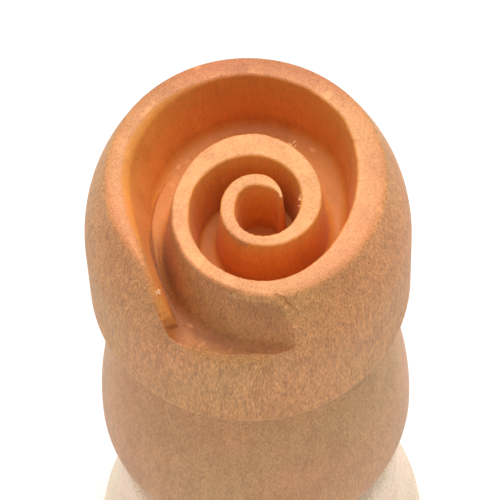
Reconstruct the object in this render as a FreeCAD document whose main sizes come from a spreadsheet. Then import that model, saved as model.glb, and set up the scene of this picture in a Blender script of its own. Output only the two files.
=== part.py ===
import FreeCAD, Part
import math
import os

import Sketcher

# Hardwood butter stamp, standing on its palm end with the carved face up.
# Frame: +Z up along the turning axis, origin at the centre of the foot, -Y towards the place
# where the groove leaves the head.

doc = FreeCAD.newDocument("ButterStamp")

DRIVING_SIZES = [
    # print head
    ("head_diameter", 32.0),
    ("head_height", 21.0),
    ("rim_diameter", 26.6),
    ("shoulder_height", 11.4),
    ("head_edge_round", 1.0),
    # spiral carved into the head
    ("groove_depth", 7.2),
    ("carving_right", 1.15),
    ("carving_front", 3.0),
    ("spiral_start", 2.15),
    ("spiral_growth", 2.32),
    ("ridge_width", 1.1),
    ("ridge_gain", 0.44),
    ("rim_width", 2.0),
    ("lean_inner", 3.0),
    ("lean_outer", 8.0),
    # places along the spiral, in turns from its inner end
    ("settle_from", 1.7),
    ("settle_to", 2.1),
    ("ridge_leaves", 1.8),
    ("wall_leaves", 2.53),
    # grip
    ("grip_length", 31.0),
    ("grip_diameter", 32.5),
    ("neck_diameter", 19.0),
    ("neck_length", 3.2),
    ("neck_shoulder", 2.2),
    ("belly_height", 6.5),
    ("grip_foot_diameter", 28.4),
    ("lip_height", 1.8),
    ("lip_round", 1.1),
    ("lip_line", 0.5),
    # palm base
    ("base_height", 26.0),
    ("base_diameter", 36.0),
    ("base_top_diameter", 30.0),
    ("base_shoulder", 2.0),
    ("base_flare_curve", 60.0),
    ("foot_round", 2.5),
    ("foot_rim_height", 6.0),
    ("foot_rim_draw", 0.6),
    ("joint_groove_depth", 2.7),
    ("spigot_height", 2.0),
    # dowel pins
    ("dowel_diameter", 8.0),
    ("dowel_length", 25.0),
    ("dowel_in_head", 8.5),
    ("dowel_in_base", 13.0),
    ("dowel_bevel", 0.8),
    ("flute_count", 12.0),
    ("flute_radius", 0.45),
    ("glue_clearance", 0.05),
    ("dowel_end_gap", 1.0),
]


def make_sheet():
    """Driving sizes, in millimetres, degrees or plain numbers."""
    sheet = doc.addObject("Spreadsheet::Sheet", "Sheet")
    for row, (name, value) in enumerate(DRIVING_SIZES, start=1):
        sheet.set(f"A{row}", name)
        sheet.set(f"B{row}", str(value))
        sheet.setAlias(f"B{row}", name)
    doc.recompute()
    return sheet


sheet = make_sheet()


def size(name):
    return float(getattr(sheet, name))


def sheet_terms(expression):
    """Put the sheet's name before each alias of an expression."""
    words = expression.replace("(", " ( ").replace(")", " ) ").split()
    names = dict(DRIVING_SIZES)
    return " ".join(f"Sheet.{word}" if word in names else word for word in words)


def worked_out(expression):
    """Value of an expression, used only to lay a sketch out near its solved shape."""
    return float(sheet.evalExpression(sheet_terms(expression)))


def plane_of(body, role):
    return next(item for item in body.Origin.OriginFeatures if item.Role == role)


def new_body(name, height="0"):
    body = doc.addObject("PartDesign::Body", name)
    body.Label = name
    body.setExpression("Placement.Base.z", sheet_terms(height))
    return body


def new_sketch(body, name, role="XY_Plane", height="0"):
    sketch = body.newObject("Sketcher::SketchObject", name)
    sketch.AttachmentSupport = [(plane_of(body, role), "")]
    sketch.MapMode = "FlatFace"
    if role == "XY_Plane":
        sketch.setExpression("AttachmentOffset.Base.z", sheet_terms(height))
    return sketch


def drive(sketch, constraint, expression):
    """Add a dimension and bind it to the sheet."""
    index = sketch.addConstraint(constraint)
    sketch.setExpression(f"Constraints[{index}]", sheet_terms(expression))


def arc_between(first, last, radius, outward):
    """Circle arc between two corners that bulges away from the axis, or towards it.

    It always runs counter-clockwise, so an inward one starts at its last corner.
    """
    chord = last - first
    middle = (first + last) * 0.5
    drop = math.sqrt(radius ** 2 - (chord.Length / 2) ** 2)
    normal = FreeCAD.Vector(chord.y, -chord.x, 0).normalize()
    centre = middle - normal * drop if outward else middle + normal * drop
    if outward:
        return Part.Arc(first, centre + normal * radius, last)
    return Part.Arc(last, centre - normal * radius, first)


def swell(across, along):
    """Radius of an arc that runs parallel to the axis at one end and moves inwards by across."""
    return f"((({across}) ^ 2 + ({along}) ^ 2) / (2 * ({across})))"


def turn_profile(body, corners):
    """Turn a closed half profile about the Z axis.

    Each corner is (radius, height, edge to the next corner); an edge is None for a straight
    line, or (curve radius, bulges outward).
    """
    sketch = new_sketch(body, "Profile", "XZ_Plane")
    points = [FreeCAD.Vector(worked_out(radius), worked_out(height), 0)
              for radius, height, _ in corners]
    starts = []
    for index, (_, _, edge) in enumerate(corners):
        first = points[index]
        last = points[(index + 1) % len(points)]
        if edge is None:
            sketch.addGeometry(Part.LineSegment(first, last), False)
            starts.append(1)
            continue
        sketch.addGeometry(arc_between(first, last, worked_out(edge[0]), edge[1]), False)
        starts.append(1 if edge[1] else 2)
    for index, (radius, height, edge) in enumerate(corners):
        following = (index + 1) % len(corners)
        sketch.addConstraint(Sketcher.Constraint(
            "Coincident", index, 3 - starts[index], following, starts[following]))
        if radius == "0":
            sketch.addConstraint(Sketcher.Constraint("PointOnObject", index, starts[index], -2))
        else:
            drive(sketch, Sketcher.Constraint(
                "DistanceX", -1, 1, index, starts[index], points[index].x), radius)
        if height == "0":
            sketch.addConstraint(Sketcher.Constraint("PointOnObject", index, starts[index], -1))
        else:
            drive(sketch, Sketcher.Constraint(
                "DistanceY", -1, 1, index, starts[index], points[index].y), height)
        if edge is not None:
            drive(sketch, Sketcher.Constraint("Radius", index, worked_out(edge[0])), edge[0])
    turning = body.newObject("PartDesign::Revolution", "Turning")
    turning.Profile = sketch
    turning.ReferenceAxis = (sketch, ["V_Axis"])
    turning.Angle = 360
    body.Tip = turning
    return turning


def bore(body, name, height, depth, upward):
    """Blind dowel bore on the axis, from the given height into the wood."""
    sketch = new_sketch(body, name + "Circle", height=height)
    sketch.addGeometry(Part.Circle(FreeCAD.Vector(), FreeCAD.Vector(0, 0, 1), 1), False)
    sketch.addConstraint(Sketcher.Constraint("Coincident", 0, 3, -1, 1))
    drive(sketch, Sketcher.Constraint("Radius", 0, 1), "dowel_diameter / 2 + glue_clearance")
    pocket = body.newObject("PartDesign::Pocket", name)
    pocket.Profile = sketch
    pocket.Reversed = upward
    pocket.setExpression("Length", sheet_terms(depth))
    body.Tip = pocket
    return pocket


GRIP_FOOT = "base_height + spigot_height"
HEAD_FOOT = "base_height + spigot_height + grip_length"


def make_head_blank():
    """Head as it leaves the lathe: drum, curved shoulder, flat top, rounded lower edge."""
    body = new_body("head_blank", HEAD_FOOT)
    shoulder = swell("(head_diameter - rim_diameter) / 2", "shoulder_height")
    turn_profile(body, [
        ("0", "0", None),
        ("head_diameter / 2 - head_edge_round", "0", ("head_edge_round", True)),
        ("head_diameter / 2", "head_edge_round", None),
        ("head_diameter / 2", "head_height - shoulder_height", (shoulder, True)),
        ("rim_diameter / 2", "head_height", None),
        ("0", "head_height", None),
    ])
    bore(body, "DowelBore", "0", "dowel_in_head", True)
    return body


# ---- spiral groove -----------------------------------------------------------------------

SPIRAL_STEP = 0.125  # turns between the points that the curves run through
OUTSIDE = 1.35  # reach of the cutter past the head, in head radii
OVERRUN = 1.0  # height of the cutter above the head


def smooth_step(value):
    value = min(max(value, 0.0), 1.0)
    return value * value * (3 - 2 * value)


def lean_at(turn):
    """Lean of the carved walls, growing from the middle outwards."""
    share = min(turn / size("settle_to"), 1.0)
    degrees = size("lean_inner") + (size("lean_outer") - size("lean_inner")) * share
    return math.tan(math.radians(degrees))


def ridge_point(turn, side, level):
    """Point on one edge of the ridge: side -1 faces the middle, +1 faces outwards.

    The ridge grows by a fixed ratio each turn about the carving's own middle. Its inner face
    then settles onto the rim, which is concentric with the head.
    """
    centre_line = size("spiral_start") * size("spiral_growth") ** turn
    half_width = (size("ridge_width") + size("ridge_gain") * turn) / 2
    reach = centre_line + side * half_width
    settled = 0.0
    if side < 0:
        reach = min(reach, size("rim_diameter") / 2 - size("rim_width"))
        settled = smooth_step((turn - size("settle_from")) /
                              (size("settle_to") - size("settle_from")))
    reach += side * lean_at(turn) * -level
    angle = 2 * math.pi * turn
    return FreeCAD.Vector(
        size("carving_right") * (1 - settled) + reach * math.cos(angle),
        -size("carving_front") * (1 - settled) + reach * math.sin(angle),
        level,
    )


def ridge_edge(last_turn, side, level):
    """Smooth curve along one edge of the ridge, from its inner end to last_turn."""
    steps = math.ceil(last_turn / SPIRAL_STEP)
    turns = [last_turn * step / steps for step in range(steps + 1)]
    curve = Part.BSplineCurve()
    curve.interpolate(Points=[ridge_point(turn, side, level) for turn in turns],
                      Parameters=turns)
    return curve


def straight_exit(curve, last_turn):
    """Tangent line from the end of an edge to a point well outside the head."""
    start = curve.value(last_turn)
    heading = curve.tangent(last_turn)[0]
    flat = FreeCAD.Vector(start.x, start.y, 0)
    outside = OUTSIDE * size("head_diameter") / 2
    along = flat.dot(heading)
    travel = -along + math.sqrt(along ** 2 + outside ** 2 - flat.Length ** 2)
    return start, start + heading * travel


def groove_outline(level):
    """Closed outline of the groove at a level below (negative) or above the top of the head."""
    wall = ridge_edge(size("wall_leaves"), -1, level)
    ridge = ridge_edge(size("ridge_leaves"), 1, level)
    wall_start, wall_exit = straight_exit(wall, size("wall_leaves"))
    ridge_start, ridge_exit = straight_exit(ridge, size("ridge_leaves"))
    inner = wall.value(0)
    outer = ridge.value(0)
    tip = (inner + outer) * 0.5 - FreeCAD.Vector(0, (outer - inner).Length / 2, 0)
    outside = (wall_exit + ridge_exit) * 0.5
    outside = FreeCAD.Vector(outside.x, outside.y, 0).normalize()
    outside = outside * OUTSIDE * (size("head_diameter") / 2) + FreeCAD.Vector(0, 0, level)
    return Part.Wire([
        Part.Arc(outer, tip, inner).toShape(),
        wall.toShape(),
        Part.makeLine(wall_start, wall_exit),
        Part.Arc(wall_exit, outside, ridge_exit).toShape(),
        Part.makeLine(ridge_exit, ridge_start),
        ridge.toShape(),
    ])


def make_groove_cutter():
    """Solid that the carver removes: one leaning-walled groove with a flat floor."""
    floor = groove_outline(-size("groove_depth"))
    mouth = groove_outline(OVERRUN)
    cutter = doc.addObject("Part::Feature", "groove_cutter")
    cutter.Shape = Part.makeLoft([floor, mouth], True, True)
    cutter.setExpression("Placement.Base.z", sheet_terms(HEAD_FOOT + " + head_height"))
    return cutter


def make_print_head():
    """Head blank less the carved groove."""
    carved = doc.addObject("Part::Cut", "print_head")
    carved.Base = make_head_blank()
    carved.Tool = make_groove_cutter()
    carved.Label = "print_head"
    return carved


# ---- grip, base and pins -----------------------------------------------------------------

def make_grip():
    """Barrel grip: neck with a hollow curve, belly, incised line and a small lip."""
    body = new_body("grip", GRIP_FOOT)
    lower_belly = swell("(grip_diameter - grip_foot_diameter) / 2",
                        "belly_height - lip_height - lip_line")
    upper_belly = swell("(grip_diameter - neck_diameter) / 2 - neck_shoulder",
                        "grip_length - neck_length - belly_height")
    turn_profile(body, [
        ("0", "0", None),
        ("grip_foot_diameter / 2 - lip_line", "0", ("lip_round", True)),
        ("grip_foot_diameter / 2 - lip_line", "lip_height", None),
        ("grip_foot_diameter / 2", "lip_height + lip_line", (lower_belly, True)),
        ("grip_diameter / 2", "belly_height", (upper_belly, True)),
        ("neck_diameter / 2 + neck_shoulder", "grip_length - neck_length",
         ("neck_shoulder + neck_length", False)),
        ("neck_diameter / 2", "grip_length", None),
        ("0", "grip_length", None),
    ])
    bore(body, "LowerBore", "0",
         "dowel_length - dowel_in_base + dowel_end_gap", True)
    bore(body, "UpperBore", "grip_length",
         "dowel_length - dowel_in_head + dowel_end_gap", False)
    return body


def make_palm_base():
    """Flared lower end: spigot under the grip, soft shoulder, flare, rounded rim, flat foot."""
    body = new_body("palm_base")
    rim_swell = swell("foot_rim_draw", "foot_rim_height - foot_round")
    spigot = "grip_foot_diameter / 2 - joint_groove_depth"
    turn_profile(body, [
        ("0", "0", None),
        ("base_diameter / 2 - foot_round", "0", ("foot_round", True)),
        ("base_diameter / 2", "foot_round", (rim_swell, True)),
        ("base_diameter / 2 - foot_rim_draw", "foot_rim_height", ("base_flare_curve", False)),
        ("base_top_diameter / 2", "base_height - base_shoulder", ("base_shoulder", True)),
        ("base_top_diameter / 2 - base_shoulder", "base_height", None),
        (spigot, "base_height", None),
        (spigot, "base_height + spigot_height", None),
        ("0", "base_height + spigot_height", None),
    ])
    bore(body, "DowelBore", "base_height + spigot_height", "dowel_in_base", False)
    return body


def make_dowel(name, foot_height):
    """Fluted dowel pin with bevelled ends."""
    body = new_body(name, foot_height)
    turn_profile(body, [
        ("0", "0", None),
        ("dowel_diameter / 2 - dowel_bevel", "0", None),
        ("dowel_diameter / 2", "dowel_bevel", None),
        ("dowel_diameter / 2", "dowel_length - dowel_bevel", None),
        ("dowel_diameter / 2 - dowel_bevel", "dowel_length", None),
        ("0", "dowel_length", None),
    ])
    sketch = new_sketch(body, "FluteCircle")
    rim = worked_out("dowel_diameter / 2")
    sketch.addGeometry(Part.Circle(FreeCAD.Vector(rim, 0, 0), FreeCAD.Vector(0, 0, 1), 1), False)
    sketch.addConstraint(Sketcher.Constraint("PointOnObject", 0, 3, -1))
    drive(sketch, Sketcher.Constraint("DistanceX", -1, 1, 0, 3, rim), "dowel_diameter / 2")
    drive(sketch, Sketcher.Constraint("Radius", 0, 1), "flute_radius")
    flute = body.newObject("PartDesign::Pocket", "Flute")
    flute.Profile = sketch
    flute.Reversed = True
    flute.setExpression("Length", sheet_terms("dowel_length"))
    flutes = body.newObject("PartDesign::PolarPattern", "Flutes")
    flutes.Originals = [flute]
    flutes.Axis = (sketch, ["N_Axis"])
    flutes.Angle = 360
    flutes.setExpression("Occurrences", sheet_terms("flute_count"))
    body.Tip = flutes
    return body


pieces = [
    make_print_head(),
    make_grip(),
    make_palm_base(),
    make_dowel("head_dowel", HEAD_FOOT + " + dowel_in_head - dowel_length"),
    make_dowel("base_dowel", "base_height + spigot_height - dowel_in_base"),
]
doc.recompute()

for item in doc.Objects:
    if "Invalid" in item.State or "Error" in item.State:
        raise RuntimeError(f"{item.Name} did not recompute: {item.State}")

os.makedirs("parts", exist_ok=True)
for piece in pieces:
    shape = piece.Shape
    if shape.isNull() or not shape.isValid() or len(shape.Solids) != 1:
        raise RuntimeError(f"{piece.Label} is not one valid solid")
    shape.exportStep(f"parts/{piece.Label}.step")
    print(piece.Label, round(shape.Volume, 1), shape.BoundBox)
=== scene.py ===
import math
import random

import bmesh
import bpy
from mathutils import Matrix, Vector, kdtree, noise


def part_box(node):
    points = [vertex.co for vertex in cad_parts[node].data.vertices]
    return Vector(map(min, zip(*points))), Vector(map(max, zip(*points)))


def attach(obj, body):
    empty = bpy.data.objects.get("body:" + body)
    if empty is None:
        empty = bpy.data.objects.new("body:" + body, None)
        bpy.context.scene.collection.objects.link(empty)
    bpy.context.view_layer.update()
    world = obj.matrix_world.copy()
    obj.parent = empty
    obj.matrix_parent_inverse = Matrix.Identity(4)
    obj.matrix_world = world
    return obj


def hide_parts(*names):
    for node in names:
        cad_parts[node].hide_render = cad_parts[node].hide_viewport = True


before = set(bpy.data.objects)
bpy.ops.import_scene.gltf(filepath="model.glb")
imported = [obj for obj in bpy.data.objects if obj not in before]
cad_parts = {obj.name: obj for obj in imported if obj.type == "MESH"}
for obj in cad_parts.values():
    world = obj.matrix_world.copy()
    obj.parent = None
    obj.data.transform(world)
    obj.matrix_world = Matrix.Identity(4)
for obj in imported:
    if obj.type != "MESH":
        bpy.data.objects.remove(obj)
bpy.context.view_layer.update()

MM = 0.001
SPIN_STEPS = 288

# ---- sizes taken from the frame ------------------------------------------------------------

head_low, head_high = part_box("print_head")
grip_low, grip_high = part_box("grip")
base_low, base_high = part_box("palm_base")

HEAD_RADIUS = (head_high[0] - head_low[0]) / 2
HEAD_TOP = head_high[2]
HEAD_FOOT = head_low[2]
GRIP_RADIUS = (grip_high[0] - grip_low[0]) / 2
GRIP_FOOT = grip_low[2]
BASE_RADIUS = (base_high[0] - base_low[0]) / 2

# ---- sizes of the turned and carved details ------------------------------------------------

RIM_RADIUS = 13.3 * MM
RIM_ROUND = 0.9 * MM
SHOULDER_HEIGHT = 11.4 * MM
BORE_RADIUS = 4.05 * MM

# the ridge's spiral; places along it are counted in turns from its inner end
CARVING_MIDDLE = Vector((1.15 * MM, -3.0 * MM, 0))
SPIRAL_START = 2.15 * MM
SPIRAL_GROWTH = 2.32
RIDGE_WIDTH = 1.15 * MM
RIDGE_GAIN = 0.55 * MM
FRONT_THINNING = 0.27
RIDGE_STARTS = 0.05
RIDGE_LEAVES = 1.76
TIP_LENGTH = 0.17
TIP_SHARE = 0.25
SLIP_SPAN = 0.13
WIDTH_SLIPS = ((1.0, 0.25 * MM), (1.25, 0.65 * MM), (1.52, -0.35 * MM), (1.75, 0.1 * MM))
REACH_SLIPS = ((0.5, -0.32 * MM), (1.25, 0.32 * MM), (1.5, -0.1 * MM), (1.75, -0.12 * MM))

# the groove's outer wall, which settles to a rim of even width and then leaves the head
RIM_WIDTH = 2.0 * MM
SETTLE_FROM = 1.7
SETTLE_TO = 2.1
WALL_LEAVES = 2.53
EXIT_SWING = math.radians(8)

# the groove's depth, the lean of its walls, and its rounded corners
GROOVE_DEPTH = 7.2 * MM
LEAN_INNER = math.radians(3)
LEAN_OUTER = math.radians(8)
LEAN_AT_EXIT = math.radians(9)
LEAN_AT_FRONT = math.radians(3.5)
EXIT_LEANS_FROM = 2.15
FRONT_LEANS_FROM = 1.35
LEAN_GROWS_OVER = 0.3
LIP_ROUND = 0.26 * MM
EXIT_LIP_FROM = 2.25
FRONT_LIP_FROM = 1.45
LIP_AT_EXIT = 0.65 * MM
FLOOR_FILLET = 0.85 * MM
LEDGE_ROUND = 1.4 * MM
LEDGE_FADE = math.radians(6)
ROOM_SHARE = 0.46

# how finely the groove is cut
RIDGE_STEPS = 300
WALL_STEPS = 420
EXIT_STEPS = 60
TIP_STEPS = 8
AROUND_STEPS = 30
CUTTER_REACH = 1.5 * HEAD_RADIUS
FLOOR_CELL = 0.4 * MM

# how nearly a vertex must match the floor's level or the turned surface
LEVEL_MATCH = 0.002 * MM
EDGE_MATCH = 0.03 * MM
SURFACE_MATCH = 0.06 * MM

# how strongly the carving is shaded
FOOT_SHADE = 0.7 * MM
INNER_SHADE = 0.35
FRONT_SHADE = 0.62

# torn fibres: (place, spread each way, count, length)
FIBRE_TUFTS = (
    (Vector((5.25, -2.9, 79.7)) * MM, Vector((0.2, 0.8, 0.1)) * MM, 12, 0.42 * MM),
    (Vector((4.4, 3.4, 79.75)) * MM, Vector((0.5, 0.3, 0.1)) * MM, 5, 0.4 * MM),
    (Vector((-8.9, -10.3, 77.0)) * MM, Vector((0.2, 0.35, 0.2)) * MM, 16, 0.6 * MM),
    (Vector((9.6, -5.6, 79.5)) * MM, Vector((0.4, 1.0, 0.1)) * MM, 8, 0.4 * MM),
)

# dark spots, the first low on the front of the drum, the second a painted shadow in the recess
# where the groove's outer wall ends: (place, reach each way)
DARK_SPOTS_AND_SHADOW = (
    (Vector((0.2, -16.0, 65.8)) * MM, Vector((0.45, 2.0, 0.9)) * MM),
    (Vector((-8.3, -12.3, 73.0)) * MM, Vector((0.8, 0.8, 1.3)) * MM),
)


# ---- turned pieces -------------------------------------------------------------------------

def arc(first, last, radius, outward, count):
    """Points of an arc between two profile corners, without the last corner."""
    chord = last - first
    drop = math.sqrt(radius ** 2 - (chord.length / 2) ** 2)
    normal = Vector((chord.z, 0, -chord.x)).normalized()
    side = 1 if outward else -1
    centre = (first + last) / 2 - side * normal * drop
    turn = 2 * math.asin(chord.length / 2 / radius) * -side
    return [centre + Matrix.Rotation(turn * step / count, 3, "Y") @ (first - centre)
            for step in range(count)]


def swell(across, along):
    """Radius of an arc that is parallel to the axis at one end and moves inwards by across."""
    return (across ** 2 + along ** 2) / (2 * across)


def corner(radius, height):
    """Profile corner at a radius and a height."""
    return Vector((radius, 0, height))


def straight(first, last, count):
    """Points of a straight run between two profile corners, without the last corner."""
    return [first.lerp(last, step / count) for step in range(count)]


def turned(name, profile):
    """Turn a profile that starts and ends on the axis into a closed mesh."""
    bm = bmesh.new()
    verts = [bm.verts.new(point) for point in profile]
    edges = [bm.edges.new(pair) for pair in zip(verts, verts[1:])]
    bmesh.ops.spin(bm, geom=verts + edges, cent=(0, 0, 0), axis=(0, 0, 1), dvec=(0, 0, 0),
                   angle=2 * math.pi, steps=SPIN_STEPS, use_merge=True)
    bmesh.ops.remove_doubles(bm, verts=bm.verts, dist=1e-7)
    bmesh.ops.recalc_face_normals(bm, faces=bm.faces)
    return as_object(name, bm)


def as_object(name, bm):
    """Put a finished bmesh in the scene as an object."""
    mesh = bpy.data.meshes.new(name)
    bm.to_mesh(mesh)
    bm.free()
    piece = bpy.data.objects.new(name, mesh)
    bpy.context.scene.collection.objects.link(piece)
    return piece


def smooth_by_angle(piece, degrees=34):
    """Smooth shading, with sharp edges where faces meet steeply or a flat cut face ends."""
    bm = bmesh.new()
    bm.from_mesh(piece.data)
    for face in bm.faces:
        face.smooth = True
    for edge in bm.edges:
        steep = edge.calc_face_angle(0) > math.radians(degrees)
        cut_face = any(len(face.verts) > 6 for face in edge.link_faces)
        edge.smooth = not (steep or cut_face)
    bm.to_mesh(piece.data)
    bm.free()


def head_profile():
    """Drum, shoulder and flat top of the head, with the dowel bore underneath."""
    edge = 1.0 * MM
    bore_top = HEAD_FOOT + 8.5 * MM
    shoulder = HEAD_TOP - SHOULDER_HEIGHT
    curve = swell(HEAD_RADIUS - RIM_RADIUS, SHOULDER_HEIGHT)
    points = [corner(0, bore_top), corner(BORE_RADIUS, bore_top)]
    points += [corner(BORE_RADIUS, HEAD_FOOT)]
    points += arc(corner(HEAD_RADIUS - edge, HEAD_FOOT), corner(HEAD_RADIUS, HEAD_FOOT + edge),
                  edge, True, 8)
    points += straight(corner(HEAD_RADIUS, HEAD_FOOT + edge), corner(HEAD_RADIUS, shoulder), 20)
    rim = corner(RIM_RADIUS, HEAD_TOP)
    floor = HEAD_TOP - GROOVE_DEPTH
    shoulder_arc = arc(corner(HEAD_RADIUS, shoulder), rim, curve, True, 44)
    points += [point for point in shoulder_arc
               if abs(point.z - floor) > 0.05 * MM
               and point.z < HEAD_TOP - 0.9 * RIM_ROUND]
    flat = corner(RIM_RADIUS - 0.75 * RIM_ROUND, HEAD_TOP)
    points += arc(points[-1], flat, 1.35 * RIM_ROUND, True, 9)[1:]
    points += [flat, corner(0.5 * RIM_RADIUS, HEAD_TOP), corner(0, HEAD_TOP)]
    return points


def grip_profile():
    """Barrel grip: lip, incised line, belly, hollow neck, a bore in each end."""
    foot_radius = 14.2 * MM
    lip_line = 0.5 * MM
    lip_height = 1.8 * MM
    belly = GRIP_FOOT + 6.5 * MM
    neck_radius = 9.5 * MM
    neck_shoulder = 2.2 * MM
    neck_foot = HEAD_FOOT - 3.2 * MM
    lower_bore = GRIP_FOOT + 13 * MM
    upper_bore = HEAD_FOOT - 17.5 * MM
    lip_low = corner(foot_radius - lip_line, GRIP_FOOT)
    lip_high = corner(foot_radius - lip_line, GRIP_FOOT + lip_height)
    skirt = corner(foot_radius, GRIP_FOOT + lip_height + lip_line)
    widest = corner(GRIP_RADIUS, belly)
    neck = corner(neck_radius + neck_shoulder, neck_foot)
    top = corner(neck_radius, HEAD_FOOT)
    points = [corner(0, lower_bore), corner(BORE_RADIUS, lower_bore)]
    points += [corner(BORE_RADIUS, GRIP_FOOT)]
    points += arc(lip_low, lip_high, 1.1 * MM, True, 14)
    points += [lip_high + Vector((-0.15 * MM, 0, 0.1 * MM))]
    points += arc(lip_high + Vector((0, 0, 0.25 * MM)), skirt, 0.6 * MM, True, 5)
    points += arc(skirt, widest, swell(widest.x - skirt.x, widest.z - skirt.z), True, 26)
    points += arc(widest, neck, swell(widest.x - neck.x, neck.z - widest.z), True, 34)
    points += arc(neck, top, neck_shoulder + 3.2 * MM, False, 12)
    points += [top, corner(BORE_RADIUS, HEAD_FOOT), corner(BORE_RADIUS, upper_bore)]
    points += [corner(0, upper_bore)]
    return points


def base_profile():
    """Palm base: rounded rim, flare, soft shoulder, spigot and the bore in its top."""
    foot_round = 2.5 * MM
    rim_draw = 0.6 * MM
    rim_height = 6.0 * MM
    top_radius = 15.0 * MM
    top_round = 2.0 * MM
    spigot = 11.5 * MM
    top = 26 * MM
    bore_floor = base_high[2] - 13 * MM
    foot = corner(BASE_RADIUS - foot_round, 0)
    rim_low = corner(BASE_RADIUS, foot_round)
    rim_high = corner(BASE_RADIUS - rim_draw, rim_height)
    shoulder = corner(top_radius, top - top_round)
    points = [corner(0, 0), corner(BASE_RADIUS * 0.5, 0)]
    points += arc(foot, rim_low, foot_round, True, 14)
    points += arc(rim_low, rim_high, swell(rim_draw, rim_height - foot_round), True, 8)
    points += arc(rim_high, shoulder, 60 * MM, False, 30)
    points += arc(shoulder, corner(top_radius - top_round, top), top_round, True, 12)
    points += [corner(top_radius - top_round, top), corner(spigot, top)]
    points += [corner(spigot, base_high[2]), corner(BORE_RADIUS, base_high[2])]
    points += [corner(BORE_RADIUS, bore_floor), corner(0, bore_floor)]
    return points


# ---- carved spiral -------------------------------------------------------------------------

def smooth_step(value):
    """Ease from 0 to 1 as the value goes from 0 to 1."""
    value = min(max(value, 0.0), 1.0)
    return value * value * (3 - 2 * value)


def floor_fillet(turn, side):
    """Radius left in the corner of the floor: small where the groove is narrow."""
    gap = max(turn if side > 0 else turn - 1, 0)
    return min((0.05 + 0.75 * gap) * MM, FLOOR_FILLET)


def hand_slip(turn, slips):
    """Small departures of the hand-cut ridge from its spiral, each (turn, amount)."""
    return sum(amount * math.exp(-((turn - place) / SLIP_SPAN) ** 2) for place, amount in slips)


def half_ridge(turn):
    """Half the width of the ridge's top: pointed at its inner end, thinner at the front."""
    front = max(-math.sin(2 * math.pi * turn), 0) ** 2
    taper = smooth_step((turn - RIDGE_STARTS) / TIP_LENGTH)
    width = (RIDGE_WIDTH + RIDGE_GAIN * turn) * (1 - FRONT_THINNING * front)
    width += hand_slip(turn, WIDTH_SLIPS)
    return width * (TIP_SHARE + (1 - TIP_SHARE) * taper) / 2


def surface_drop(radius):
    """Depth of the uncarved surface below the rim at a radius."""
    curve = swell(HEAD_RADIUS - RIM_RADIUS, SHOULDER_HEIGHT)
    inwards = min(max(radius, RIM_RADIUS), HEAD_RADIUS) - HEAD_RADIUS + curve
    return SHOULDER_HEIGHT - math.sqrt(curve ** 2 - inwards ** 2)


def wall_offset(turn, side, depth, radius):
    """How far a carved wall stands into the groove: lean, rounded lip and filleted floor."""
    share = min(turn / SETTLE_TO, 1.0)
    lean = LEAN_INNER + (LEAN_OUTER - LEAN_INNER) * share
    lip = min(LIP_ROUND, 0.7 * half_ridge(turn))
    if side < 0:
        lean += LEAN_AT_EXIT * smooth_step((turn - EXIT_LEANS_FROM) / LEAN_GROWS_OVER)
        lip += LIP_AT_EXIT * smooth_step((turn - EXIT_LIP_FROM) / 0.2)
    else:
        lean += LEAN_AT_FRONT * smooth_step((turn - FRONT_LEANS_FROM) / LEAN_GROWS_OVER)
        lip += 0.4 * LIP_AT_EXIT * smooth_step((turn - FRONT_LIP_FROM) / 0.25)
    offset = math.tan(lean) * max(depth, 0)
    above_lip = min(max(lip - (depth - surface_drop(radius)), 0), lip)
    offset -= lip - math.sqrt(lip ** 2 - above_lip ** 2)
    fillet = floor_fillet(turn, side)
    in_fillet = min(max(depth - (GROOVE_DEPTH - fillet), 0), fillet)
    offset += fillet - math.sqrt(fillet ** 2 - in_fillet ** 2)
    return offset


def ridge_point(turn, side):
    """Point on the ridge's inner (-1) or outer (+1) edge, level with the rim."""
    reach = SPIRAL_START * SPIRAL_GROWTH ** turn + hand_slip(turn, REACH_SLIPS)
    reach += side * half_ridge(turn)
    settled = 0.0
    if side < 0:
        reach = min(reach, RIM_RADIUS - RIM_WIDTH)
        settled = smooth_step((turn - SETTLE_FROM) / (SETTLE_TO - SETTLE_FROM))
    angle = 2 * math.pi * turn
    outward = Vector((math.cos(angle), math.sin(angle), 0))
    return CARVING_MIDDLE * (1 - settled) + reach * outward


def unevenness(point, depth):
    """Chisel facets along the walls, and torn fibres near the lip."""
    facets = noise.noise(Vector((point.x, point.y, (HEAD_TOP - depth) * 0.5)) * 420) * 0.10 * MM
    torn = noise.noise(Vector((point.x, point.y, 0)) * 3600) * 0.07 * MM
    open_share = min((point.xy - CARVING_MIDDLE.xy).length / (6 * MM), 1)
    return open_share * facets + torn * math.exp(-max(depth, 0) / (0.7 * MM))


def edge_line(side, leaves, steps):
    """Points (place, turn, evenness share) along one edge of the ridge's top.

    The line then runs straight on until well outside the head.
    """
    turns = [RIDGE_STARTS + (leaves - RIDGE_STARTS) * step / steps for step in range(steps + 1)]
    line = []
    for turn in turns:
        evenness = 1.0 if side < 0 else min((leaves - turn) / 0.1, 1.0)
        line.append((ridge_point(turn, side), turn, evenness))
    start = line[-1][0]
    heading = (start - line[-2][0]).normalized()
    if side > 0:
        heading = Matrix.Rotation(-EXIT_SWING, 3, "Z") @ heading
    along = start.dot(heading)
    outside = 1.35 * HEAD_RADIUS
    travel = -along + math.sqrt(along ** 2 + outside ** 2 - start.length_squared)
    for step in range(1, EXIT_STEPS + 1):
        line.append((start + heading * travel * step / EXIT_STEPS, leaves, float(side < 0)))
    return line


def groove_room(line, other, step):
    """Share of the groove that each wall point may lean into, so that the walls never meet."""
    room = []
    for place, turn, _ in line:
        low, high = turn + step - 0.15, turn + step + 0.15
        if turn > (2.35 if step < 0 else 1.35):
            low, high = (1.3, 9) if step < 0 else (2.3, 9)
        gaps = [(place - across).length for across, facing, _ in other if low < facing < high]
        room.append(ROOM_SHARE * min(gaps) if gaps else HEAD_RADIUS)
    return room


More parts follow.
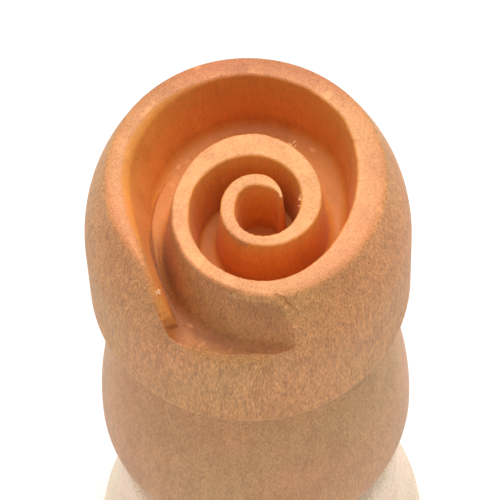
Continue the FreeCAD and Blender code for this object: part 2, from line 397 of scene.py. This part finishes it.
def face_line(line, room, side, depth):
    """Points at one depth along one face of the ridge."""
    carved = []
    places = [place for place, _, _ in line]
    for before, after, (point, turn, share), limit in zip(
            places[:1] + places, places[1:] + places[-1:], line, room):
        across = (after - before).normalized().cross(Vector((0, 0, 1)))
        offset = min(wall_offset(turn, side, depth, point.length), limit)
        offset = side * offset + share * unevenness(point, depth) * min(limit / (2 * MM), 1)
        carved.append(point + across * offset + Vector((0, 0, HEAD_TOP - depth)))
    return carved


def groove_loop(lines, rooms, depth):
    """Closed loop round the groove at one depth."""
    ridge = face_line(lines[0], rooms[0], 1, depth)
    wall = face_line(lines[1], rooms[1], -1, depth)
    inner, outer = wall[0], ridge[0]
    middle = (inner + outer) / 2
    tip = [middle + Matrix.Rotation(-math.pi * step / TIP_STEPS, 3, "Z") @ (outer - middle)
           for step in range(1, TIP_STEPS)]
    first = math.atan2(wall[-1].y, wall[-1].x) % (2 * math.pi)
    last = math.atan2(ridge[-1].y, ridge[-1].x) % (2 * math.pi)
    around = []
    for step in range(1, AROUND_STEPS):
        angle = first + (last - first) * step / AROUND_STEPS
        around.append(Vector((CUTTER_REACH * math.cos(angle), CUTTER_REACH * math.sin(angle),
                              HEAD_TOP - depth)))
    return ridge[::-1] + tip + wall + around


def groove_depths():
    """Depths of the cutter's rows, closer together at the lip and the floor."""
    lip = [LIP_ROUND * (1 - math.cos(math.pi / 2 * step / 7)) for step in range(8)]
    lip[0] = 0.006 * MM
    foot = GROOVE_DEPTH - FLOOR_FILLET
    wall = [LIP_ROUND + (foot - LIP_ROUND) * step / 30 for step in range(1, 31)]
    fillet = [foot + FLOOR_FILLET * math.sin(math.pi / 2 * step / 9) for step in range(1, 10)]
    return [-0.8 * MM] + lip + wall + fillet


def groove_cutter():
    """Closed solid of the wood that the carver took out."""
    bm = bmesh.new()
    rows = groove_depths()
    lines = edge_line(1, RIDGE_LEAVES, RIDGE_STEPS), edge_line(-1, WALL_LEAVES, WALL_STEPS)
    rooms = groove_room(lines[0], lines[1], 1), groove_room(lines[1], lines[0], -1)
    ring = [bm.verts.new(point) for point in groove_loop(lines, rooms, rows[0])]
    edges = [bm.edges.new(pair) for pair in zip(ring, ring[1:] + ring[:1])]
    bmesh.ops.triangle_fill(bm, edges=edges, use_beauty=True)
    for depth in rows[1:]:
        made = bmesh.ops.extrude_edge_only(bm, edges=edges)["geom"]
        fresh = {item for item in made if isinstance(item, bmesh.types.BMVert)}
        edges = [item for item in made
                 if isinstance(item, bmesh.types.BMEdge) and fresh.issuperset(item.verts)]
        ring = [next(edge.other_vert(vert) for edge in vert.link_edges
                     if edge.other_vert(vert) in fresh) for vert in ring]
        for vert, point in zip(ring, groove_loop(lines, rooms, depth)):
            vert.co = point
    bmesh.ops.triangle_fill(bm, edges=edges, use_beauty=True)
    bmesh.ops.recalc_face_normals(bm, faces=bm.faces)
    return as_object("groove_cutter", bm)


def lathe_radius(height):
    """Radius of the uncarved head at a height."""
    rise = max(height - (HEAD_TOP - SHOULDER_HEIGHT), 0)
    curve = swell(HEAD_RADIUS - RIM_RADIUS, SHOULDER_HEIGHT)
    return HEAD_RADIUS - curve + math.sqrt(curve ** 2 - rise ** 2)


def on_floor(vert):
    """True for a vertex at the level of the groove's floor."""
    return abs(vert.co.z - (HEAD_TOP - GROOVE_DEPTH)) < LEVEL_MATCH


def divide_floor(bm):
    """Cut the groove's flat floor into small cells that can carry its shading."""
    cells = [face for face in bm.faces if all(on_floor(vert) for vert in face.verts)]
    geom = cells + list({edge for face in cells for edge in face.edges})
    geom += list({vert for face in cells for vert in face.verts})
    count = int(HEAD_RADIUS / FLOOR_CELL)
    for across in (Vector((1, 0, 0)), Vector((0, 1, 0))):
        for step in range(-count, count + 1):
            geom = bmesh.ops.bisect_plane(bm, geom=geom, dist=1e-8, plane_no=across,
                                          plane_co=across * step * FLOOR_CELL)["geom"]


def round_ledge(bm):
    """Round the edge where the groove's floor runs out through the side of the head."""
    floor = HEAD_TOP - GROOVE_DEPTH
    edge_radius = lathe_radius(floor)
    bearings = [math.atan2(vert.co.x, -vert.co.y) for vert in bm.verts
                if on_floor(vert) and vert.co.xy.length > edge_radius - EDGE_MATCH]
    first, last = min(bearings), max(bearings)
    for vert in bm.verts:
        bearing = math.atan2(vert.co.x, -vert.co.y)
        rounding = (LEDGE_ROUND * smooth_step((bearing - first) / LEDGE_FADE)
                    * smooth_step((last - bearing) / LEDGE_FADE))
        inwards = lathe_radius(vert.co.z) - vert.co.xy.length
        below = floor - vert.co.z
        if not (inwards < rounding and -LEVEL_MATCH < below < rounding):
            continue
        pull = rounding / math.hypot(rounding - inwards, rounding - below)
        height = floor - rounding + (rounding - below) * pull
        reach = lathe_radius(height) - rounding + (rounding - inwards) * pull
        vert.co.xy = vert.co.xy.normalized() * reach
        vert.co.z = height


def open_front(point):
    """0 on walls inside the spiral, rising to 1 on the ridge's open front face."""
    away = point - CARVING_MIDDLE
    angle = math.atan2(away.y, away.x) / (2 * math.pi) % 1
    second = SPIRAL_START * SPIRAL_GROWTH ** (angle + 1)
    on_outer_face = second < away.xy.length < second + 3.0 * MM
    return smooth_step((angle - 0.30) / 0.30) if on_outer_face else 0.0


def near(point, spot, reach):
    """1 at a spot, falling to 0 away from it; reach gives the spot's size each way."""
    away = Vector([(a - b) / c for a, b, c in zip(point, spot, reach)])
    return math.exp(-away.length_squared)


def foot_of_walls(bm):
    """Search tree of the points where the groove's walls meet its floor."""
    feet = [vert.co for vert in bm.verts
            if on_floor(vert) and not all(on_floor(other) for edge in vert.link_edges
                                          for other in edge.verts)
            and vert.co.xy.length < lathe_radius(vert.co.z) - SURFACE_MATCH]
    tree = kdtree.KDTree(len(feet))
    for index, place in enumerate(feet):
        tree.insert(place, index)
    tree.balance()
    return tree


def mark_carving(bm):
    """Store how enclosed each vertex is, which sets its cut colour and painted glow, and its
    painted shade, dark spot and painted shadow.
    """
    # how enclosed: share of cut colour, partly the cut wood's own colour and partly a painted
    # orange glow of light bounced in the groove
    hollow = bm.verts.layers.float.new("hollow")
    shade = bm.verts.layers.float.new("shade")
    # dark spots, one of them a painted shadow in a recess
    spot_and_shadow = bm.verts.layers.float.new("spot_and_shadow")
    feet = foot_of_walls(bm)
    for vert in bm.verts:
        depth = HEAD_TOP - vert.co.z
        radius = vert.co.xy.length
        vert[spot_and_shadow] = max(near(vert.co, spot, reach) for spot, reach in DARK_SPOTS_AND_SHADOW)
        below_top = 0.04 * MM < depth < GROOVE_DEPTH + 0.1 * MM
        rim_edge = radius > RIM_RADIUS - RIM_ROUND and depth < RIM_ROUND
        uncarved = radius > lathe_radius(vert.co.z) - SURFACE_MATCH
        if rim_edge or uncarved or not below_top:
            continue
        towards_exit = smooth_step((-vert.co.y - 4 * MM) / (6 * MM))
        fading = 1 - smooth_step((vert.co.x - 1.5 * MM) / (5.5 * MM))
        front = open_front(vert.co)
        if on_floor(vert):
            away = feet.find(vert.co)[2]
            # less cut colour and painted glow where the floor opens out through the side of the
            # head
            opening = smooth_step((radius - 11 * MM) / (3.5 * MM)) * towards_exit
            vert[hollow] = (1 - 0.6 * opening) * (fading if towards_exit else 1)
            corner_shade = math.exp(-(away / FOOT_SHADE) ** 2)
            vert[shade] = INNER_SHADE + (1 - INNER_SHADE) * towards_exit * corner_shade
        else:
            # the lip is kept out of the cut colour and painted glow, in a wider band on the left
            # towards the exit
            pale_lip = 0.12 + (vert.co.x < 0) * towards_exit * (0.9 if front > 0 else 2.6)
            local_depth = max(depth - surface_drop(radius), 0)
            vert[hollow] = smooth_step(local_depth / (pale_lip * MM)) * (1 - 0.75 * front)
            vert[hollow] *= fading if front > 0 else 1
            corner_shade = smooth_step((depth / GROOVE_DEPTH - 0.74) / 0.24)
            corner_shade *= INNER_SHADE + (1 - INNER_SHADE) * towards_exit
            vert[shade] = max(corner_shade, FRONT_SHADE * front)
        if front > 0:
            vert[shade] *= fading


def loose_fibres(bm):
    """Short torn wood fibres left standing on the lips of the carving."""
    chance = random.Random(7)
    hollow = bm.verts.layers.float["hollow"]
    for place, spread, count, length in FIBRE_TUFTS:
        for _ in range(count):
            shift = Vector([chance.uniform(-1, 1) * reach for reach in spread])
            heading = Vector((chance.uniform(-1, 1), chance.uniform(-1, 1),
                              chance.uniform(-0.5, 0.1))).normalized()
            lean = heading.to_track_quat("Z", "Y").to_matrix().to_4x4()
            long = length * chance.uniform(0.6, 1.2)
            made = bmesh.ops.create_cone(
                bm, cap_ends=True, segments=5, radius1=0.045 * MM, radius2=0.015 * MM,
                depth=long, matrix=Matrix.Translation(place + shift) @ lean)
            # -1 marks a torn fibre, which the material makes pale
            for vert in made["verts"]:
                vert[hollow] = -1.0


def carved_head():
    """Turned blank with the groove cut out of it."""
    blank = turned("head_blank", head_profile())
    cutter = groove_cutter()
    cut = blank.modifiers.new("carving", "BOOLEAN")
    cut.operation = "DIFFERENCE"
    cut.solver = "EXACT"
    cut.object = cutter
    evaluated = blank.evaluated_get(bpy.context.evaluated_depsgraph_get())
    mesh = bpy.data.meshes.new_from_object(evaluated)
    mesh.name = "carved_head"
    piece = bpy.data.objects.new("carved_head", mesh)
    bpy.context.scene.collection.objects.link(piece)
    for spare in (blank, cutter):
        spare_mesh = spare.data
        bpy.data.objects.remove(spare)
        bpy.data.meshes.remove(spare_mesh)
    bm = bmesh.new()
    bm.from_mesh(mesh)
    divide_floor(bm)
    mark_carving(bm)
    round_ledge(bm)
    loose_fibres(bm)
    bm.to_mesh(mesh)
    bm.free()
    smooth_by_angle(piece)
    return piece


# ---- materials -----------------------------------------------------------------------------

def add(tree, kind, **values):
    """New node of a kind, with its settings."""
    node = tree.nodes.new(kind)
    for name, value in values.items():
        setattr(node, name, value)
    return node


def wire(tree, source, target):
    """Link an output to an input."""
    tree.links.new(source, target)


def math_node(tree, operation, first, second=None, clamp=False):
    """Output of a Math node; each input is a number or another node's output."""
    node = add(tree, "ShaderNodeMath", operation=operation, use_clamp=clamp)
    for socket, value in zip(node.inputs, (first, second)):
        if value is None:
            continue
        if isinstance(value, (int, float)):
            socket.default_value = value
        else:
            wire(tree, value, socket)
    return node.outputs[0]


def ramp(tree, value, stops):
    """Colour ramp; each stop is (place, colour)."""
    node = add(tree, "ShaderNodeValToRGB")
    while len(node.color_ramp.elements) < len(stops):
        node.color_ramp.elements.new(0.5)
    for element, (place, colour) in zip(node.color_ramp.elements, stops):
        element.position = place
        element.color = (*colour, 1)
    wire(tree, value, node.inputs[0])
    return node.outputs[0]


def grey(level):
    """Colour of an even grey."""
    return (level, level, level)


def span(tree, value, low, high):
    """Map low..high to 0..1, clamped."""
    node = add(tree, "ShaderNodeMapRange", interpolation_type="SMOOTHSTEP")
    wire(tree, value, node.inputs["Value"])
    node.inputs["From Min"].default_value = low
    node.inputs["From Max"].default_value = high
    return node.outputs[0]


def blend_colours(tree, factor, first, second, mode="MIX"):
    """Output of a colour mix; each input is a number, a colour or another node's output."""
    node = add(tree, "ShaderNodeMix", data_type="RGBA", blend_type=mode)
    for index, value in ((0, factor), (6, first), (7, second)):
        socket = node.inputs[index]
        if isinstance(value, (int, float)):
            socket.default_value = value
        elif isinstance(value, tuple):
            socket.default_value = (*value, 1)
        else:
            wire(tree, value, socket)
    return node.outputs[2]


def hardwood_group():
    """Node group: solid hardwood whose fibres run up the turning axis.

    Gives the wood's colour with painted glow, shade and shadow, its roughness and the height of
    its surface. The same pattern shows as short upright flecks on the sides and as fine dots on
    end grain.
    """
    tree = bpy.data.node_groups.new("hardwood", "ShaderNodeTree")
    face = tree.interface
    for name in ("Side Colour", "End Colour", "Cut And Glow Colour"):
        face.new_socket(name, in_out="INPUT", socket_type="NodeSocketColor")
    for name, value in (("Fleck Strength", 1.0), ("Ring Strength", 0.3), ("Hollow", 0.0),
                        ("Shade", 0.0), ("Spot And Shadow", 0.0), ("Seed", 0.0)):
        face.new_socket(name, in_out="INPUT", socket_type="NodeSocketFloat").default_value = value
    face.new_socket("Colour", in_out="OUTPUT", socket_type="NodeSocketColor")
    face.new_socket("Roughness", in_out="OUTPUT", socket_type="NodeSocketFloat")
    face.new_socket("Height", in_out="OUTPUT", socket_type="NodeSocketFloat")
    given = add(tree, "NodeGroupInput").outputs
    result = add(tree, "NodeGroupOutput").inputs

    place = add(tree, "ShaderNodeTexCoord").outputs["Object"]
    shift = add(tree, "ShaderNodeCombineXYZ")
    wire(tree, given["Seed"], shift.inputs["X"])
    moved = add(tree, "ShaderNodeVectorMath", operation="ADD")
    wire(tree, place, moved.inputs[0])
    wire(tree, shift.outputs[0], moved.inputs[1])
    drawn = add(tree, "ShaderNodeVectorMath", operation="MULTIPLY")
    wire(tree, moved.outputs[0], drawn.inputs[0])
    drawn.inputs[1].default_value = (1, 1, 0.15)

    # mottling, and fibres, strands and pores drawn out along the axis
    def cloud(source, scale, detail=2.0, roughness=0.5):
        node = add(tree, "ShaderNodeTexNoise")
        wire(tree, source, node.inputs["Vector"])
        node.inputs["Scale"].default_value = scale
        node.inputs["Detail"].default_value = detail
        node.inputs["Roughness"].default_value = roughness
        return node.outputs["Fac"]

    fibres = cloud(drawn.outputs[0], 8600, 3.0, 0.65)
    strands = cloud(drawn.outputs[0], 2500, 2.0, 0.6)
    mottle = cloud(moved.outputs[0], 260, 2.0, 0.6)
    patches = cloud(moved.outputs[0], 75, 1.0, 0.5)
    pores = add(tree, "ShaderNodeTexVoronoi", feature="F1")
    wire(tree, drawn.outputs[0], pores.inputs["Vector"])
    pores.inputs["Scale"].default_value = 4700
    pore = span(tree, pores.outputs["Distance"], 0.42, 0.12)

    # growth rings round a heart that lies outside the piece
    rings = add(tree, "ShaderNodeTexWave", wave_type="RINGS", rings_direction="Z",
                wave_profile="SAW")
    ring_place = add(tree, "ShaderNodeMapping")
    wire(tree, moved.outputs[0], ring_place.inputs["Vector"])
    ring_place.inputs["Location"].default_value = (0.034, 0.021, 0)
    wire(tree, ring_place.outputs[0], rings.inputs["Vector"])
    rings.inputs["Scale"].default_value = 105
    rings.inputs["Distortion"].default_value = 1.6
    rings.inputs["Detail"].default_value = 2
    rings.inputs["Detail Scale"].default_value = 1.2
    ring = math_node(tree, "MULTIPLY", rings.outputs["Fac"], given["Ring Strength"])

    # end grain where the surface faces up or down
    facing = add(tree, "ShaderNodeSeparateXYZ")
    wire(tree, add(tree, "ShaderNodeNewGeometry").outputs["Normal"], facing.inputs[0])
    upward = math_node(tree, "ABSOLUTE", facing.outputs["Z"])
    end_grain = span(tree, upward, 0.58, 0.92)
    slant = span(tree, upward, 0.10, 0.55)
    slant = math_node(tree, "SUBTRACT", slant, end_grain, clamp=True)

    # side, end and cut wood, the cut colour partly a painted glow of light bounced in the groove;
    # painted shade, darker and more red at the back; a little darker round the rim
    spot = add(tree, "ShaderNodeSeparateXYZ")
    wire(tree, place, spot.inputs[0])
    # painted shade: darker and more red towards the back
    painted_back_shade = span(tree, spot.outputs["Y"], 0.005, 0.012)
    base = blend_colours(tree, end_grain, given["Side Colour"], given["End Colour"])
    # share of cut colour, which also paints the glow of light bounced in the groove
    cut_glow_mix = math_node(tree, "MULTIPLY", end_grain, -0.15)
    cut_glow_mix = math_node(tree, "ADD", cut_glow_mix, 1.0)
    cut_glow_mix = math_node(tree, "MULTIPLY", given["Hollow"], cut_glow_mix)
    base = blend_colours(tree, cut_glow_mix, base, given["Cut And Glow Colour"])
    base = blend_colours(tree, painted_back_shade, base, (0.78, 0.64, 0.60), "MULTIPLY")
    from_axis = add(tree, "ShaderNodeVectorMath", operation="LENGTH")
    across = add(tree, "ShaderNodeCombineXYZ")
    wire(tree, spot.outputs["X"], across.inputs["X"])
    wire(tree, spot.outputs["Y"], across.inputs["Y"])
    wire(tree, across.outputs[0], from_axis.inputs[0])
    outer_ring = span(tree, from_axis.outputs["Value"], 0.0105, 0.0122)
    outer_ring = math_node(tree, "MULTIPLY", outer_ring, end_grain)
    base = blend_colours(tree, outer_ring, base, (0.90, 0.90, 0.93), "MULTIPLY")

    # grain is calmer on cut walls than on turned sides
    calm = math_node(tree, "MULTIPLY", cut_glow_mix, 0.7)
    calm = math_node(tree, "SUBTRACT", 1.0, calm)
    calm = math_node(tree, "SUBTRACT", calm, math_node(tree, "MULTIPLY", end_grain, 0.15))
    fleck = math_node(tree, "MULTIPLY", given["Fleck Strength"], calm, clamp=True)
    tone = ramp(tree, mottle, [(0.30, (0.88, 0.86, 0.83)), (0.52, grey(1.0)),
                               (0.74, (1.05, 1.02, 0.98))])
    base = blend_colours(tree, 0.8, base, tone, "MULTIPLY")
    blush = ramp(tree, patches, [(0.35, (0.96, 1.0, 0.96)), (0.65, (1.05, 0.97, 0.98))])
    base = blend_colours(tree, 1.0, base, blush, "MULTIPLY")
    grain = ramp(tree, fibres, [(0.34, (0.64, 0.56, 0.48)), (0.47, (0.94, 0.93, 0.91)),
                                (0.54, (1.06, 1.05, 1.03)), (0.67, (1.34, 1.36, 1.36))])
    streak = ramp(tree, strands, [(0.32, (0.85, 0.80, 0.74)), (0.5, grey(1.0)),
                                  (0.7, (1.08, 1.06, 1.03))])
    base = blend_colours(tree, fleck, base, grain, "MULTIPLY")
    base = blend_colours(tree, fleck, base, streak, "MULTIPLY")
    dark_rings = blend_colours(tree, ring, grey(1.0), (0.80, 0.66, 0.52))
    base = blend_colours(tree, 1.0, base, dark_rings, "MULTIPLY")
    pore_depth = math_node(tree, "ADD", math_node(tree, "MULTIPLY", slant, 0.22), 0.12)
    pore_depth = math_node(tree, "MULTIPLY", pore_depth, pore)
    pore_depth = math_node(tree, "MULTIPLY", pore_depth, calm)
    base = blend_colours(tree, pore_depth, base, (0.20, 0.09, 0.03))

    # painted shade in the corners and on the open front face, dark spots and a painted shadow in
    # a recess, and the pale torn fibres
    shaded = math_node(tree, "MULTIPLY", given["Shade"], 0.85)
    base = blend_colours(tree, shaded, base, (0.52, 0.40, 0.28), "MULTIPLY")
    spot_and_shadow_mix = math_node(tree, "MULTIPLY", given["Spot And Shadow"], 0.7)
    base = blend_colours(tree, spot_and_shadow_mix, base, (0.42, 0.14, 0.03))
    pale = math_node(tree, "MULTIPLY", given["Hollow"], -1.0, clamp=True)
    base = blend_colours(tree, pale, base, (0.90, 0.64, 0.36))
    wire(tree, base, result["Colour"])

    rough = math_node(tree, "MULTIPLY_ADD", fibres, 0.25)
    rough.node.inputs[2].default_value = 0.46
    wire(tree, math_node(tree, "ADD", rough, math_node(tree, "MULTIPLY", pore, 0.12)),
         result["Roughness"])
    height = math_node(tree, "MULTIPLY", fibres, 0.7)
    height = math_node(tree, "SUBTRACT", height, math_node(tree, "MULTIPLY", pore, 0.35))
    height = math_node(tree, "ADD", height, math_node(tree, "MULTIPLY", strands, 0.35))
    wire(tree, height, result["Height"])
    return tree


def edge_wear_and_highlight_group():
    """Node group: lightens convex edges unevenly, as rubbing from handling and as a painted
    highlight on the carving's lips.
    """
    tree = bpy.data.node_groups.new("edge_wear_and_highlight", "ShaderNodeTree")
    face = tree.interface
    face.new_socket("Colour", in_out="INPUT", socket_type="NodeSocketColor")
    face.new_socket("Worn And Lit Colour", in_out="INPUT", socket_type="NodeSocketColor")
    face.new_socket("Amount", in_out="INPUT", socket_type="NodeSocketFloat")
    face.new_socket("Colour", in_out="OUTPUT", socket_type="NodeSocketColor")
    given = add(tree, "NodeGroupInput").outputs
    result = add(tree, "NodeGroupOutput").inputs
    sharpness = add(tree, "ShaderNodeNewGeometry").outputs["Pointiness"]
    # lighter on convex edges: rubbed by handling, and a painted highlight
    edge = span(tree, sharpness, 0.515, 0.60)
    patches = add(tree, "ShaderNodeTexNoise")
    wire(tree, add(tree, "ShaderNodeTexCoord").outputs["Object"], patches.inputs["Vector"])
    patches.inputs["Scale"].default_value = 520
    edge = math_node(tree, "MULTIPLY", edge, span(tree, patches.outputs["Fac"], 0.35, 0.6))
    edge = math_node(tree, "MULTIPLY", edge, given["Amount"])
    wire(tree, blend_colours(tree, edge, given["Colour"], given["Worn And Lit Colour"]),
         result["Colour"])
    return tree


HARDWOOD = hardwood_group()
EDGE_WEAR_AND_HIGHLIGHT = edge_wear_and_highlight_group()


def wood(name, side, end, cut, fleck=1.0, ring=0.3, seed=0.0, wear_and_highlight=0.5, bump=0.03,
         turning=0.0, specular=0.35, sheen=0.2):
    """Bare turned hardwood; turning gives the height of fine tool rings round the piece."""
    material = bpy.data.materials.new(name)
    material.use_nodes = True
    tree = material.node_tree
    tree.nodes.clear()
    shader = add(tree, "ShaderNodeBsdfPrincipled")
    wire(tree, shader.outputs[0], add(tree, "ShaderNodeOutputMaterial").inputs[0])
    grain = add(tree, "ShaderNodeGroup", node_tree=HARDWOOD)
    for socket, colour in (("Side Colour", side), ("End Colour", end), ("Cut And Glow Colour", cut)):
        grain.inputs[socket].default_value = (*colour, 1)
    grain.inputs["Fleck Strength"].default_value = fleck
    grain.inputs["Ring Strength"].default_value = ring
    grain.inputs["Seed"].default_value = seed
    for socket, layer in (("Hollow", "hollow"), ("Shade", "shade"), ("Spot And Shadow", "spot_and_shadow")):
        wire(tree, add(tree, "ShaderNodeAttribute", attribute_name=layer).outputs["Fac"],
             grain.inputs[socket])
    # lighter rubbed edges, which also paint a highlight on the lips of the carving
    worn_and_lit = add(tree, "ShaderNodeGroup", node_tree=EDGE_WEAR_AND_HIGHLIGHT)
    wire(tree, grain.outputs["Colour"], worn_and_lit.inputs["Colour"])
    worn_and_lit.inputs["Worn And Lit Colour"].default_value = (*[min(1.0, c * 1.25) for c in end], 1)
    worn_and_lit.inputs["Amount"].default_value = wear_and_highlight
    wire(tree, worn_and_lit.outputs["Colour"], shader.inputs["Base Color"])
    wire(tree, grain.outputs["Roughness"], shader.inputs["Roughness"])
    shader.inputs["Specular IOR Level"].default_value = specular
    shader.inputs["Sheen Weight"].default_value = sheen
    shader.inputs["Sheen Roughness"].default_value = 0.45
    shader.inputs["Sheen Tint"].default_value = (1.0, 0.88, 0.82, 1)
    relief = add(tree, "ShaderNodeBump")
    relief.inputs["Distance"].default_value = bump * MM
    relief.inputs["Strength"].default_value = 1.0
    height = grain.outputs["Height"]
    if turning:
        rings = add(tree, "ShaderNodeTexWave", wave_type="BANDS", bands_direction="Z")
        wire(tree, add(tree, "ShaderNodeTexCoord").outputs["Object"], rings.inputs["Vector"])
        rings.inputs["Scale"].default_value = 700
        rings.inputs["Distortion"].default_value = 0.8
        height = math_node(tree, "ADD", height,
                           math_node(tree, "MULTIPLY", rings.outputs["Fac"], turning))
    wire(tree, height, relief.inputs["Height"])
    wire(tree, relief.outputs[0], shader.inputs["Normal"])
    return material


def dress(piece, material):
    """Give a piece, or every slot of a carried-over node, one material."""
    if not piece.data.materials:
        piece.data.materials.append(material)
        return
    for index in range(len(piece.material_slots)):
        piece.material_slots[index].link = "OBJECT"
        piece.material_slots[index].material = material


# ---- pieces --------------------------------------------------------------------------------

# the head's cut colour is partly the cut wood's own colour and partly a painted glow in the
# groove
head_wood = wood("head_hardwood", side=(0.64, 0.298, 0.10), end=(0.80, 0.345, 0.132),
                 cut=(0.80, 0.30, 0.048), ring=0.2, wear_and_highlight=0.55, specular=0.5,
                 sheen=0.06)
grip_wood = wood("grip_hardwood", side=(0.60, 0.32, 0.145), end=(0.72, 0.40, 0.19),
                 cut=(0.61, 0.33, 0.15), fleck=0.6, ring=0.2, seed=0.31, turning=0.25)
base_wood = wood("base_hardwood", side=(0.93, 0.74, 0.57), end=(0.93, 0.74, 0.57),
                 cut=(0.93, 0.74, 0.57), fleck=0.6, ring=0.2, seed=0.57, turning=0.25)
dowel_wood = wood("dowel_hardwood", side=(0.74, 0.56, 0.36), end=(0.66, 0.46, 0.27),
                  cut=(0.70, 0.51, 0.32), fleck=0.8, ring=0.1, seed=0.83, wear_and_highlight=0.2)


def set_piece(piece, node, material):
    """Put a finished piece in the place of its CAD node."""
    dress(piece, material)
    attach(piece, "root")
    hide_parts(node)


head = carved_head()
set_piece(head, "print_head", head_wood)
grip = turned("barrel_grip", grip_profile())
smooth_by_angle(grip)
set_piece(grip, "grip", grip_wood)
base = turned("flared_palm_base", base_profile())
smooth_by_angle(base)
set_piece(base, "palm_base", base_wood)
for pin in ("head_dowel", "base_dowel"):
    dress(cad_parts[pin], dowel_wood)

# ---- floor, light and camera ---------------------------------------------------------------


def pale_floor():
    """Plain pale floor under the object."""
    bm = bmesh.new()
    bmesh.ops.create_grid(bm, x_segments=2, y_segments=2, size=3)
    floor = as_object("floor", bm)
    material = bpy.data.materials.new("pale_floor")
    material.use_nodes = True
    shader = material.node_tree.nodes["Principled BSDF"]
    shader.inputs["Base Color"].default_value = (0.93, 0.93, 0.93, 1)
    shader.inputs["Roughness"].default_value = 0.8
    floor.data.materials.append(material)


def softbox(name, place, target, width, power, colour):
    """Square soft light at a place, turned to a target."""
    lamp = bpy.data.lights.new(name, "AREA")
    lamp.shape = "SQUARE"
    lamp.size = width
    lamp.energy = power
    lamp.color = colour
    light = bpy.data.objects.new(name, lamp)
    light.location = place
    light.rotation_euler = (Vector(target) - Vector(place)).to_track_quat("-Z", "Y").to_euler()
    bpy.context.scene.collection.objects.link(light)


def soft_light():
    """White surroundings and one softbox behind and above."""
    world = bpy.data.worlds.new("studio")
    world.use_nodes = True
    background = world.node_tree.nodes["Background"]
    background.inputs["Color"].default_value = (1, 1, 1, 1)
    background.inputs["Strength"].default_value = 0.66
    bpy.context.scene.world = world
    softbox("key", (0.04, 0.22, 0.55), (0, 0, HEAD_TOP), 0.40, 2.5, (1.0, 0.98, 0.95))


def camera():
    """Long lens looking down at the carved face, rolled a little."""
    elevation = math.radians(60)
    distance = 22 * HEAD_RADIUS
    rim = Vector((0, 0, HEAD_TOP))
    aim = Vector((0.0001, 0, HEAD_TOP - 0.01455))
    eye = rim + distance * Vector((0, -math.cos(elevation), math.sin(elevation)))
    data = bpy.data.cameras.new("camera")
    data.lens = 266.2
    data.sensor_width = 36
    data.clip_start = 0.01
    data.clip_end = 20
    view = bpy.data.objects.new("camera", data)
    view.location = eye
    roll = Matrix.Rotation(math.radians(-2.75), 4, "Z")
    view.rotation_euler = ((aim - eye).to_track_quat("-Z", "Y").to_matrix().to_4x4()
                           @ roll).to_euler()
    bpy.context.scene.collection.objects.link(view)
    bpy.context.scene.camera = view


pale_floor()
soft_light()
camera()
bpy.context.scene.view_settings.view_transform = "Standard"
